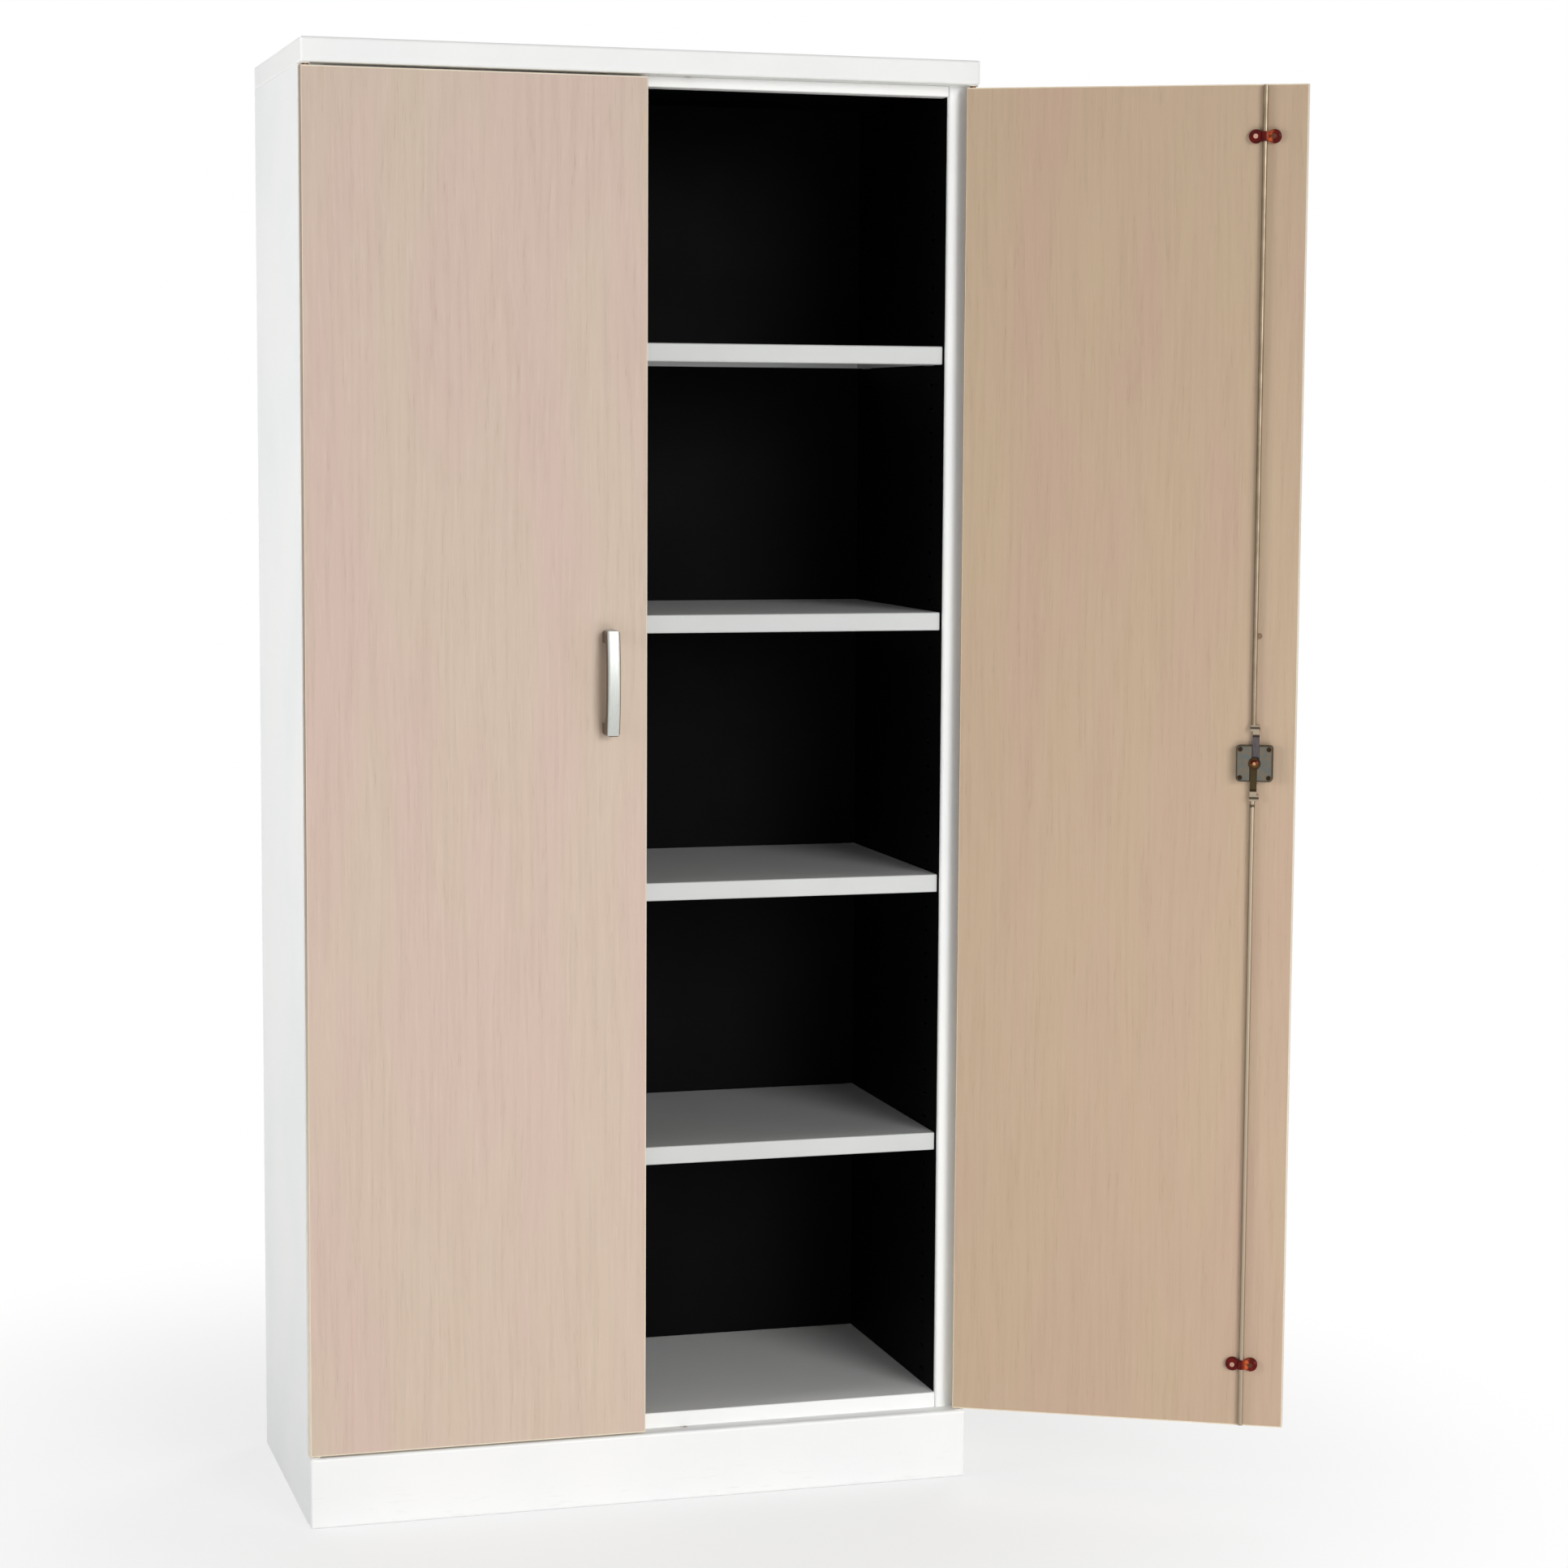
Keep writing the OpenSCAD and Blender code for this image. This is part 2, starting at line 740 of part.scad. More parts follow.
// Housing of a bolt: two saddles on a slotted plate
module bolt_housing_shape(z) {
    y0 = door_inner_y;
    difference() {
        union() {
            block(rod_x - bolt_plate_half, rod_x + bolt_plate_half, y0, y0 + bolt_plate_t,
                z - bolt_half, z + bolt_half);
            for (s = [-1, 1])
                block(rod_x - bolt_saddle_half, rod_x + bolt_saddle_half, y0,
                    y0 + rod_lift + rod_r + bolt_cover,
                    z + s * (bolt_half - bolt_saddle_h / 2) - bolt_saddle_h / 2,
                    z + s * (bolt_half - bolt_saddle_h / 2) + bolt_saddle_h / 2);
        }
        post(rod_x, rod_y, z - bolt_half - cut, z + bolt_half + cut, rod_r + run_gap);
        block(rod_x - rod_r - run_gap, rod_x + rod_r + run_gap, y0 - cut, rod_y,
            z - bolt_half - cut, z + bolt_half + cut);
        for (s = [-1, 1], t = [-1, 1])
            peg(rod_x + s * bolt_screw_x, z + t * bolt_screw_z, y0 - cut,
                y0 + bolt_plate_t + cut, small_screw_r + run_gap);
    }
}

module bolt_housings() {
    color("gray") on_left() for (z = bolt_z) bolt_housing_shape(z);
}

// A small screw whose head sits at the given distance from the door
module small_screw(x, z, lift) {
    y = door_inner_y + lift;
    difference() {
        union() {
            peg(x, z, door_inner_y - small_bite, y + small_head_t, small_screw_r);
            peg(x, z, y, y + small_head_t, small_head_r);
        }
        cross_recess(x, y + small_head_t, z, small_head_r * driver_span);
    }
}

module bolt_screws() {
    color("silver")
        on_left()
            for (z = bolt_z, s = [-1, 1], t = [-1, 1])
                small_screw(rod_x + s * bolt_screw_x, z + t * bolt_screw_z, bolt_plate_t);
}

// A bolt: the rod from its tip to past the far saddle, with a knob to push
module bolt_shape(z0, z1, knob_z) {
    post(rod_x, rod_y, z0, z1, rod_r);
    peg(rod_x, knob_z, rod_y, rod_y + rod_r + bolt_knob_l, bolt_knob_r);
}

module upper_bolt() {
    z = bolt_z[0];
    color("silver")
        on_left()
            bolt_shape(z - bolt_half - bolt_throw - bolt_end, upper_rod_z1, z - bolt_throw / 2);
}

module lower_bolt() {
    z = bolt_z[1];
    color("silver")
        on_left()
            bolt_shape(lower_rod_z0, z + bolt_half + bolt_throw + bolt_end, z + bolt_throw / 2);
}

// Right door board with the holes of the lock and the rod guides
module right_door_panel() {
    color("#b6a287")
        on_right_door()
            difference() {
                door_board_shape();
                peg(lock_x, lock_z, front_y - cut, door_inner_y + cut, cylinder_r + joint_gap);
                for (s = [-1, 1], t = [-1, 1])
                    peg(lock_x + s * (lock_w / 2 - lock_screw_inset),
                        lock_z + t * (lock_h / 2 - lock_screw_inset),
                        door_inner_y - small_bite - cut, door_inner_y + cut,
                        small_screw_r + run_gap);
                for (z = guide_z, s = [-1, 1])
                    peg(rod_x + s * guide_screw_x, z, door_inner_y - small_bite - cut,
                        door_inner_y + cut, small_screw_r + run_gap);
            }
}

module right_door_edging() {
    color("#e6dcc8") on_right_door() door_edging_shape();
}

module right_handle() {
    color("silver") on_right_door() handle_shape();
}

module right_handle_screws() {
    color("silver") on_right_door() handle_screws_shape();
}

module right_pivot_pins() {
    color("silver") on_right_door() pivot_pins_shape();
}

// Half of the channel in the lock case that a rod link runs in, above the hub
module link_channel() {
    block(lock_x - shank_out - channel_gap, lock_x + shank_in + channel_gap,
        door_inner_y + link_lift - channel_gap, door_inner_y + lock_d + cut, lock_z,
        lock_z + lock_h / 2 + cut);
}

// Turns a piece half a turn about the axis of the lock
module turned_about_lock() {
    translate([lock_x, 0, lock_z])
        rotate([0, 180, 0])
            translate([-lock_x, 0, -lock_z])
                children();
}

// Zinc lock case with the bore of the hub and the channels of the links
module lock_case() {
    x0 = lock_x - lock_w / 2;
    x1 = lock_x + lock_w / 2;
    z0 = lock_z - lock_h / 2;
    z1 = lock_z + lock_h / 2;
    y0 = door_inner_y;
    color("#6f6b62")
        on_right_door()
            difference() {
                union() {
                    translate([0, y0 + lock_d - case_step, 0])
                        rotate([90, 0, 0])
                            linear_extrude(height = lock_d - case_step)
                                round_rect(x0, x1, z0, z1, case_r);
                    translate([0, y0 + lock_d, 0])
                        rotate([90, 0, 0])
                            linear_extrude(height = lock_d)
                                round_rect(x0 + case_step, x1 - case_step, z0 + case_step,
                                    z1 - case_step, case_r - case_step);
                }
                block(x0 + case_wall, x1 - case_wall, y0 + case_base, y0 + lock_d - case_wall,
                    z0 + case_wall, z1 - case_wall);
                peg(lock_x, lock_z, y0 + case_base, y0 + lock_d + cut, hub_face_r + run_gap);
                peg(lock_x, lock_z, y0 - cut, y0 + case_base + cut, tail_w);
                link_channel();
                turned_about_lock() link_channel();
                for (s = [-1, 1], t = [-1, 1])
                    peg(lock_x + s * (lock_w / 2 - lock_screw_inset),
                        lock_z + t * (lock_h / 2 - lock_screw_inset), y0 - cut,
                        y0 + lock_d + cut, small_screw_r + run_gap);
            }
}

module lock_screws() {
    color("#4a3a24")
        on_right_door()
            for (s = [-1, 1], t = [-1, 1])
                small_screw(lock_x + s * (lock_w / 2 - lock_screw_inset),
                    lock_z + t * (lock_h / 2 - lock_screw_inset), lock_d);
}

// Lock cylinder with its rosette on the outer face of the door
module lock_cylinder() {
    color("silver")
        on_right_door()
            difference() {
                union() {
                    peg(lock_x, lock_z, front_y - rosette_t, door_inner_y - free_gap,
                        cylinder_r);
                    peg(lock_x, lock_z, front_y - rosette_t, front_y, rosette_r);
                }
                peg(lock_x, lock_z, front_y - rosette_t - cut, door_inner_y + cut,
                    plug_r + run_gap);
            }
}

// Round lobe of a rod guide, its outer edge moulded round
module guide_lobe(x, z) {
    r = guide_round_r;
    translate([x, door_inner_y, z])
        rotate([-90, 0, 0])
            rotate_extrude($fn = 96) {
                square([guide_lobe_r - r, guide_base_t]);
                square([guide_lobe_r, guide_base_t - r]);
                translate([guide_lobe_r - r, guide_base_t - r]) circle(r = r, $fn = 48);
            }
}

// Moulded saddle over a rod, with a round lobe for a screw at each end
module rod_guide(z) {
    y0 = door_inner_y;
    color("#8c3a1c")
        on_right_door()
            difference() {
                union() {
                    for (s = [-1, 1])
                        guide_lobe(rod_x + s * guide_screw_x, z);
                    block(rod_x - guide_screw_x, rod_x + guide_screw_x, y0,
                        y0 + guide_base_t, z - guide_bridge_h / 2, z + guide_bridge_h / 2);
                    block(rod_x - guide_bridge_w / 2, rod_x + guide_bridge_w / 2, y0, rod_y,
                        z - guide_bridge_h / 2, z + guide_bridge_h / 2);
                    intersection() {
                        post(rod_x, y0 + guide_bridge_top - guide_bridge_w / 2,
                            z - guide_bridge_h / 2, z + guide_bridge_h / 2,
                            guide_bridge_w / 2);
                        block(rod_x - guide_w, rod_x + guide_w, y0, y0 + 2 * guide_bridge_top,
                            z - guide_h, z + guide_h);
                    }
                }
                post(rod_x, rod_y, z - guide_h, z + guide_h, rod_r + run_gap);
                block(rod_x - rod_r - run_gap, rod_x + rod_r + run_gap, y0 - cut, rod_y,
                    z - guide_h, z + guide_h);
                for (s = [-1, 1])
                    peg(rod_x + s * guide_screw_x, z, y0 - cut, y0 + guide_base_t + cut,
                        small_screw_r + run_gap);
            }
}

module upper_rod_guide() { rod_guide(guide_z[0]); }

module lower_rod_guide() { rod_guide(guide_z[1]); }

module guide_screws() {
    color("silver")
        on_right_door()
            for (z = guide_z, s = [-1, 1])
                small_screw(rod_x + s * guide_screw_x, z, guide_base_t);
}

// Hub of the lock: a flange with two studs, a column and the face in the case
module lock_hub() {
    y0 = door_inner_y + case_base + hub_gap;
    y1 = y0 + hub_flange_t;
    face_y = door_inner_y + link_lift + link_t + hub_gap;
    color("#7c786c")
        on_right_door()
            difference() {
                union() {
                    peg(lock_x, lock_z, y0, y1, hub_flange_r);
                    peg(lock_x, lock_z, y0, face_y + cut, column_r);
                    peg(lock_x, lock_z, face_y + 2 * cut, door_inner_y + lock_d + cut,
                        hub_face_r);
                    peg(lock_x, lock_z, face_y, face_y + 3 * cut, column_r);
                    for (s = [-1, 1])
                        peg(lock_x + s * stud_near, lock_z + s * stud_near, y0,
                            door_inner_y + link_lift + link_t + 2 * hub_gap, stud_r);
                }
                block(lock_x - tail_w / 2 - joint_gap, lock_x + tail_w / 2 + joint_gap,
                    y0 - cut, y1 + joint_gap, lock_z - tail_w / 2 - joint_gap,
                    lock_z + tail_w / 2 + joint_gap);
            }
}

// Brass rivet head in the middle of the hub
module hub_boss() {
    y0 = door_inner_y + lock_d + cut;
    color("#c08a5a")
        on_right_door() {
            peg(lock_x, lock_z, y0, y0 + boss_rim_t, boss_r);
            translate([lock_x, y0 + boss_rim_t, lock_z])
                rotate([-90, 0, 0])
                    cylinder(h = boss_dome_t, r1 = boss_r, r2 = boss_top_r, $fn = 48);
        }
}

// Plug of the lock cylinder, with the tail that turns the hub
module key_plug() {
    color("#b59a5c")
        on_right_door()
            difference() {
                union() {
                    peg(lock_x, lock_z, front_y - rosette_t, door_inner_y - free_gap, plug_r);
                    block(lock_x - tail_w / 2, lock_x + tail_w / 2, door_inner_y - cut,
                        door_inner_y + case_base + hub_gap + hub_flange_t,
                        lock_z - tail_w / 2, lock_z + tail_w / 2);
                }
                block(lock_x - key_t / 2 - run_gap, lock_x + key_t / 2 + run_gap,
                    front_y - rosette_t - cut, front_y - rosette_t + key_blade_in + run_gap,
                    lock_z - key_blade_h / 2 - run_gap, lock_z + key_blade_h / 2 + run_gap);
            }
}

// Flat key with a round bow, standing in the plug
module key() {
    y1 = front_y - rosette_t;
    bow_y = y1 - key_neck - key_bow_r;
    color("silver")
        on_right_door()
            difference() {
                union() {
                    block(lock_x - key_t / 2, lock_x + key_t / 2, bow_y, y1 + key_blade_in,
                        lock_z - key_blade_h / 2, lock_z + key_blade_h / 2);
                    translate([lock_x - key_t / 2, bow_y, lock_z])
                        rotate([0, 90, 0])
                            cylinder(h = key_t, r = key_bow_r, $fn = 48);
                }
                translate([lock_x - key_t, bow_y - key_hole_r / 2, lock_z])
                    rotate([0, 90, 0])
                        cylinder(h = 2 * key_t, r = key_hole_r, $fn = 48);
            }
}

// Flat link of the upper rod: slotted end for the stud, shank and the collar of the rod
module link_shape() {
    x = lock_x;
    y0 = door_inner_y + link_lift;
    y1 = y0 + link_t;
    stud_z = lock_z - stud_near;
    difference() {
        union() {
            block(x - link_out, x - link_in, y0, y1, lock_z - link_low, lock_z + link_top);
            block(x - link_out, x + shank_in, y0, y1, lock_z + column_r + slot_slack,
                lock_z + link_top);
            block(x - shank_out, x + shank_in, y0, y1, lock_z + column_r + slot_slack,
                lock_z + collar_z + cut);
        }
        block(x - stud_ring - stud_r - stud_gap, x - stud_near + stud_r + stud_gap, y0 - cut,
            y1 + cut, stud_z - stud_r - slot_slack, stud_z + stud_r + slot_slack);
    }
}

// Collar at the outer end of a link, bored for its rod
module collar_shape(z0, bore_z) {
    difference() {
        block(lock_x - collar_in, lock_x + collar_out, door_inner_y + collar_low,
            door_inner_y + collar_top, z0, z0 + collar_h);
        post(rod_x, rod_y, bore_z, bore_z + collar_bore + cut, rod_r + run_gap);
    }
}

module upper_rod_link() {
    z0 = lock_z + collar_z;
    color("#8f8f8b")
        on_right_door() {
            link_shape();
            collar_shape(z0, z0 + collar_h - collar_bore);
        }
}

module lower_rod_link() {
    z1 = lock_z - collar_z;
    color("#8f8f8b")
        on_right_door() {
            turned_about_lock() link_shape();
            collar_shape(z1 - collar_h, z1 - collar_h - cut);
        }
}

module upper_rod() {
    color("#b4b4ae")
        on_right_door()
            post(rod_x, rod_y, lock_z + collar_z + collar_h - collar_bore, upper_rod_z1, rod_r);
}

module lower_rod() {
    color("#b4b4ae")
        on_right_door()
            post(rod_x, rod_y, lower_rod_z0, lock_z - collar_z - collar_h + collar_bore, rod_r);
}

left_side_panel();
right_side_panel();
back_panel();
top_cap();
plinth();
base_rail();
bottom_shelf();
top_rail();
ceiling_panel();
left_liner();
right_liner();
back_liner();
shelf_1();
shelf_2();
shelf_3();
shelf_4();
shelf_clips();
pivot_bushes();
strike_bushes();
left_door_panel();
left_door_edging();
left_handle();
left_handle_screws();
left_pivot_pins();
bolt_housings();
bolt_screws();
upper_bolt();
lower_bolt();
right_door_panel();
right_door_edging();
right_handle();
right_handle_screws();
right_pivot_pins();
lock_case();
lock_screws();
lock_cylinder();
upper_rod_guide();
lower_rod_guide();
guide_screws();
lock_hub();
hub_boss();
key_plug();
key();
upper_rod();
upper_rod_link();
lower_rod();
lower_rod_link();
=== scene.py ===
import json
import math

import bpy
from mathutils import Matrix, Vector


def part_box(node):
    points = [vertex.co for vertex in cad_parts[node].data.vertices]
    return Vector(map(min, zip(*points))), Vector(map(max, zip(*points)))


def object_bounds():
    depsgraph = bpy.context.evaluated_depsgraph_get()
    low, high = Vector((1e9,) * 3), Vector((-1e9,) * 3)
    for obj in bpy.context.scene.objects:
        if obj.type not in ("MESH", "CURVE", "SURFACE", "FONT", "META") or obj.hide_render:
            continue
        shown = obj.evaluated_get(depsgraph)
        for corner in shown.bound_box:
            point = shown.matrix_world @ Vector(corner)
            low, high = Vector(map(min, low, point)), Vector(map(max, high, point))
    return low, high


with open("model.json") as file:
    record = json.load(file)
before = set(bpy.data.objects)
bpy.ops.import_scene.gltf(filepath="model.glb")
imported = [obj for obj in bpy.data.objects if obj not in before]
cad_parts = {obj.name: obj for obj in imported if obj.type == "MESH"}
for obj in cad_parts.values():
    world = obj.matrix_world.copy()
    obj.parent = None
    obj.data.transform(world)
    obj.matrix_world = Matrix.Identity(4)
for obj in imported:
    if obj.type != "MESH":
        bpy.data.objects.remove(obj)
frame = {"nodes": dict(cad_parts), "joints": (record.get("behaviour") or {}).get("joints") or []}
cad_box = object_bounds()


# Side panels: two white panels of sheet steel carry the cabinet. Each is folded in front
# into a broad return with a hem, and at the back and top into flanges that the other sheets
# are spot welded to. The powder coat has a fine orange peel and is scuffed at the foot.

panel_white = (244, 245, 243)
side_cloud = (240, 242, 242)
scuff_grey = (150, 148, 144)
coat_cloud_size = 0.22
peel_size = 0.0022
scuff_size, scuff_draw = 0.004, (9, 1, 1)
scuff_foot, scuff_top = 0.004, 0.07
scuff_share, scuff_dullness = 0.10, 0.15
half_width = -cad_box[0][0]
flange_w = 0.022
flange_front, flange_back = 0.200, 0.205
weld_pitch = 0.15
weld_radius = 0.004
weld_depth = 0.0006
weld_gloss = 0.1


class Field:
    """A socket whose value changes over a surface. Arithmetic on it adds Math nodes."""

    def __init__(self, tree, socket=None):
        self.tree = tree
        self.socket = socket

    def node(self, kind, settings, sockets, output=0):
        """Adds a node: its settings first, then the values or links of its sockets."""
        made = self.tree.nodes.new(kind)
        for name, value in settings.items():
            setattr(made, name, value)
        for key, value in sockets.items():
            if isinstance(value, Field):
                self.tree.links.new(value.socket, made.inputs[key])
            else:
                made.inputs[key].default_value = value
        return Field(self.tree, made.outputs[output])

    def math(self, operation, *values):
        """Adds a Math node on numbers and fields, which stand in the node's own order."""
        settings = {"operation": operation}
        return self.node("ShaderNodeMath", settings, dict(enumerate(values)))

    def __add__(self, other):
        return self.math("ADD", self, other)

    def __radd__(self, other):
        return self.math("ADD", other, self)

    def __sub__(self, other):
        return self.math("SUBTRACT", self, other)

    def __rsub__(self, other):
        return self.math("SUBTRACT", other, self)

    def __mul__(self, other):
        return self.math("MULTIPLY", self, other)

    def __rmul__(self, other):
        return self.math("MULTIPLY", other, self)

    def __abs__(self):
        return self.math("ABSOLUTE", self)

    def rise(self, low, high):
        """0 below low, 1 above high and smooth between them."""
        settings = {"interpolation_type": "SMOOTHSTEP"}
        sockets = {"Value": self, "From Min": low, "From Max": high}
        return self.node("ShaderNodeMapRange", settings, sockets)


def linear(shade):
    """The shader's colour for one given as red, green and blue from 0 to 255."""
    parts = [value / 255 for value in shade]
    parts = [p / 12.92 if p <= 0.04045 else ((p + 0.055) / 1.055) ** 2.4 for p in parts]
    return (*parts, 1)


def start_finish(name, **constants):
    """A new material, a Field for its nodes, and its shader with constant sockets set."""
    material = bpy.data.materials.new(name)
    material.use_nodes = True
    shader = material.node_tree.nodes["Principled BSDF"]
    for socket, value in constants.items():
        shader.inputs[socket.replace("_", " ")].default_value = value
    return material, Field(material.node_tree), shader


def feed(shader, **fields):
    """Links fields to the shader's sockets."""
    for socket, field in fields.items():
        field.tree.links.new(field.socket, shader.inputs[socket.replace("_", " ")])


def place_on(field):
    """The place on the object, in metres from the frame's origin."""
    return field.node("ShaderNodeTexCoord", {}, {}, "Object")


def along(place, axis):
    """One coordinate of a place."""
    return place.node("ShaderNodeSeparateXYZ", {}, {"Vector": place}, axis)


def distance(across, up):
    """How far a place lies from a point, from how far it lies across and up."""
    square = across * across + up * up
    return square.math("SQRT", square)


def grain(place, size, stretch=(1, 1, 1), detail=2.0):
    """Noise with spots of a size in metres, drawn out along the axes by stretch."""
    counts = [1 / (size * factor) for factor in stretch]
    settings = {"operation": "MULTIPLY"}
    squeezed = place.node("ShaderNodeVectorMath", settings, {0: place, 1: counts})
    sockets = {"Vector": squeezed, "Scale": 1.0, "Detail": detail}
    return place.node("ShaderNodeTexNoise", {}, sockets)


def blend_shades(mask, under, over, blend_type="MIX"):
    """The colour under where mask is 0, and over, or over times under, where it is 1."""
    settings = {"data_type": "RGBA", "blend_type": blend_type}
    share, colour_a, colour_b, mixed_colour = 0, 6, 7, 2
    sockets = {share: mask, colour_a: under, colour_b: over}
    return mask.node("ShaderNodeMix", settings, sockets, mixed_colour)


def two_tone(noise, shade, tint, low=0.3, high=0.7):
    """A shade that turns into a tint as the noise goes from low to high."""
    return blend_shades(noise.rise(low, high), linear(shade), linear(tint))


def vary(base, noise, spread):
    """A value that a noise moves up and down by half its spread."""
    return base + spread * (noise - 0.5)


def relief(height, strength, depth, under=None):
    """A bump from a height field, over another bump if one is given."""
    sockets = {"Height": height, "Strength": strength, "Distance": depth}
    if under is not None:
        sockets["Normal"] = under
    return height.node("ShaderNodeBump", {}, sockets)


def wear(material, *nodes):
    """Gives CAD nodes their finish."""
    for node in nodes:
        slots = frame["nodes"][node].data.materials
        slots.clear()
        slots.append(material)


def weld_dimples(place):
    """1 in the row of shallow spots where a back flange is welded to the back panel."""
    height = along(place, "Z")
    up = height.math("PINGPONG", height, weld_pitch / 2) - weld_pitch / 2
    across = abs(along(place, "X")) - (half_width - flange_w / 2)
    spots = 1 - distance(across, up).rise(weld_radius / 2, weld_radius)
    return spots * along(place, "Y").rise(flange_front, flange_back)


def powder_coat(name, shade, cloud_shade, dullness, gloss=0.5, welded=False, scuffed=False):
    """Powder coat with a cloudy tone and orange peel, and welds or scuffs where wanted."""
    material, field, shader = start_finish(name, IOR=1.5, Specular_IOR_Level=gloss)
    place = place_on(field)
    cloud = grain(place, coat_cloud_size, detail=3.0)
    peel = grain(place, peel_size, detail=1.0)
    tone = two_tone(cloud, shade, cloud_shade)
    rough = vary(vary(dullness, cloud, spread=0.12), peel, spread=0.1)
    normal = relief(peel, strength=0.10, depth=0.0003)
    if welded:
        dimples = weld_dimples(place)
        normal = relief(1 - dimples, strength=0.5, depth=weld_depth, under=normal)
        rough = rough - weld_gloss * dimples
    if scuffed:
        near_foot = 1 - along(place, "Z").rise(scuff_foot, scuff_top)
        scratches = grain(place, scuff_size, scuff_draw, detail=4.0)
        marks = scratches.rise(low=0.60, high=0.72) * near_foot
        tone = blend_shades(marks * scuff_share, tone, linear(scuff_grey))
        rough = rough + scuff_dullness * marks
    feed(shader, Base_Color=tone, Roughness=rough, Normal=normal)
    return material


side_coat = powder_coat(
    "side_panel_coat", panel_white, side_cloud, dullness=0.42, welded=True, scuffed=True
)
wear(side_coat, "left_side_panel", "right_side_panel")


# Back panel: one flat sheet closes the back between the flanges of the side panels. It is
# sprayed with the same white as the rest of the carcass.

back_cloud = (239, 241, 241)
back_coat = powder_coat("back_panel_coat", panel_white, back_cloud, dullness=0.44)
wear(back_coat, "back_panel")


# Top cap, top rail, bottom shelf and plinth: the cap is a shallow tray of the same steel,
# turned upside down over the side panels and the doors. The rail closes the opening under
# it, and the plinth the space under the bottom shelf.

cap_white, cap_cloud = (249, 249, 247), (245, 246, 245)
plinth_white, plinth_cloud = (243, 243, 242), (239, 240, 240)
cap_coat = powder_coat("cap_coat", cap_white, cap_cloud, dullness=0.55, gloss=0.4)
plinth_coat = powder_coat(
    "plinth_coat", plinth_white, plinth_cloud, dullness=0.40, scuffed=True
)
wear(cap_coat, "top_cap", "top_rail", "bottom_shelf")
wear(plinth_coat, "plinth")


# Base rail: a channel of zinc plated steel that stands on the floor and props the middle of
# the bottom shelf. The passivation of the zinc is cloudy.

zinc_grey, zinc_blue = (176, 178, 178), (160, 165, 168)
plate_skin = 0.0009


def plated(name, shade, tint, dullness, spot=0.012):
    """Plated or plain steel: a metal with a cloudy skin in two tints."""
    material, field, shader = start_finish(name, Metallic=1.0)
    place = place_on(field)
    cloud = grain(place, spot, detail=3.0)
    skin = grain(place, plate_skin)
    tone = two_tone(cloud, shade, tint, low=0.35, high=0.68)
    rough = vary(vary(dullness, cloud, spread=0.16), skin, spread=0.1)
    normal = relief(skin, strength=0.12, depth=0.0001)
    feed(shader, Base_Color=tone, Roughness=rough, Normal=normal)
    return material


zinc = plated("clip_zinc", zinc_grey, zinc_blue, dullness=0.38)
wear(zinc, "base_rail")


# Ceiling and liners: inside, the walls and the ceiling are lined with black sheet steel.
# The side liners are slotted from top to bottom for the clips of the shelves.

liner_black, liner_cloud = (5, 5, 5), (3, 3, 4)
liner_coat = powder_coat("liner_coat", liner_black, liner_cloud, dullness=0.65, gloss=0.06)
wear(liner_coat, "ceiling_panel", "left_liner", "right_liner", "back_liner")


# Shelves and their clips: four loose shelves of light grey sheet steel, folded down in
# front and turned back under. Each rests on four zinc plated clips that hook into the slots
# of the liners.

shelf_grey, shelf_cloud = (208, 210, 208), (202, 204, 203)
shelf_coat = powder_coat("shelf_coat", shelf_grey, shelf_cloud, dullness=0.45)
wear(shelf_coat, "shelf_1", "shelf_2", "shelf_3", "shelf_4")
wear(zinc, "shelf_clips")


# Bushes: the pivot pins of the doors turn in nylon bushes pressed into the cap and the
# plinth, and the rods and bolts shoot into nylon strike bushes there. All are moulded in
# white.

nylon_white, nylon_cream = (228, 226, 219), (220, 218, 210)


def moulded(name, shade, tint, dullness):
    """Moulded plastic with a faintly uneven skin."""
    material, field, shader = start_finish(name, IOR=1.5)
    place = place_on(field)
    skin = grain(place, size=0.0016)
    flow = grain(place, size=0.02)
    rough = vary(dullness, skin, spread=0.1)
    normal = relief(skin, strength=0.08, depth=0.0002)
    feed(shader, Base_Color=two_tone(flow, shade, tint), Roughness=rough, Normal=normal)
    return material


nylon = moulded("bush_nylon", nylon_white, nylon_cream, dullness=0.5)
wear(nylon, "pivot_bushes", "strike_bushes")


# Door boards: each door is an 18 mm board faced on both sides with a pale oak decor. Its
# grain runs upright, in broad soft bands of a yellower and a pinker tone, streaks a few
# millimetres wide, and short fine pores pressed into the face.

oak_yellow = (205, 185, 166)
oak_pink = (206, 181, 168)
oak_pore = (177, 155, 137)
oak_light = (215, 198, 183)
inner_face_shade = (0.87, 0.825, 0.715, 1)
wander_size, wander_reach = 0.16, 0.018
band_w, band_draw = 0.10, (1, 1, 5)
streak_w, streak_draw = 0.007, (1, 1, 26)
fibre_w, fibre_draw = 0.0024, (1, 1, 22)
pore_w, pore_draw = 0.0013, (1, 1, 24)
streak_share, fibre_share, pore_share = 0.22, 0.22, 0.30
pores_between = 0.35
pore_depth = 0.0002
oak_dullness, pore_dullness = 0.5, 0.12
tint_edge = 0.001
hinges = {joint["name"]: joint for joint in frame["joints"]}
left_hinge = hinges["left_door_hinge"]["pos_m"]
right_hinge = hinges["right_door_hinge"]["pos_m"]
right_turn = math.radians(min(hinges["right_door_hinge"]["range_deg"]))


def door_place(field, hinge, turn):
    """The place on a door as if it were closed, for a door that rests open by turn."""
    settings = {"rotation_type": "Z_AXIS"}
    sockets = {"Vector": place_on(field), "Center": hinge, "Angle": turn}
    return field.node("ShaderNodeVectorRotate", settings, sockets)


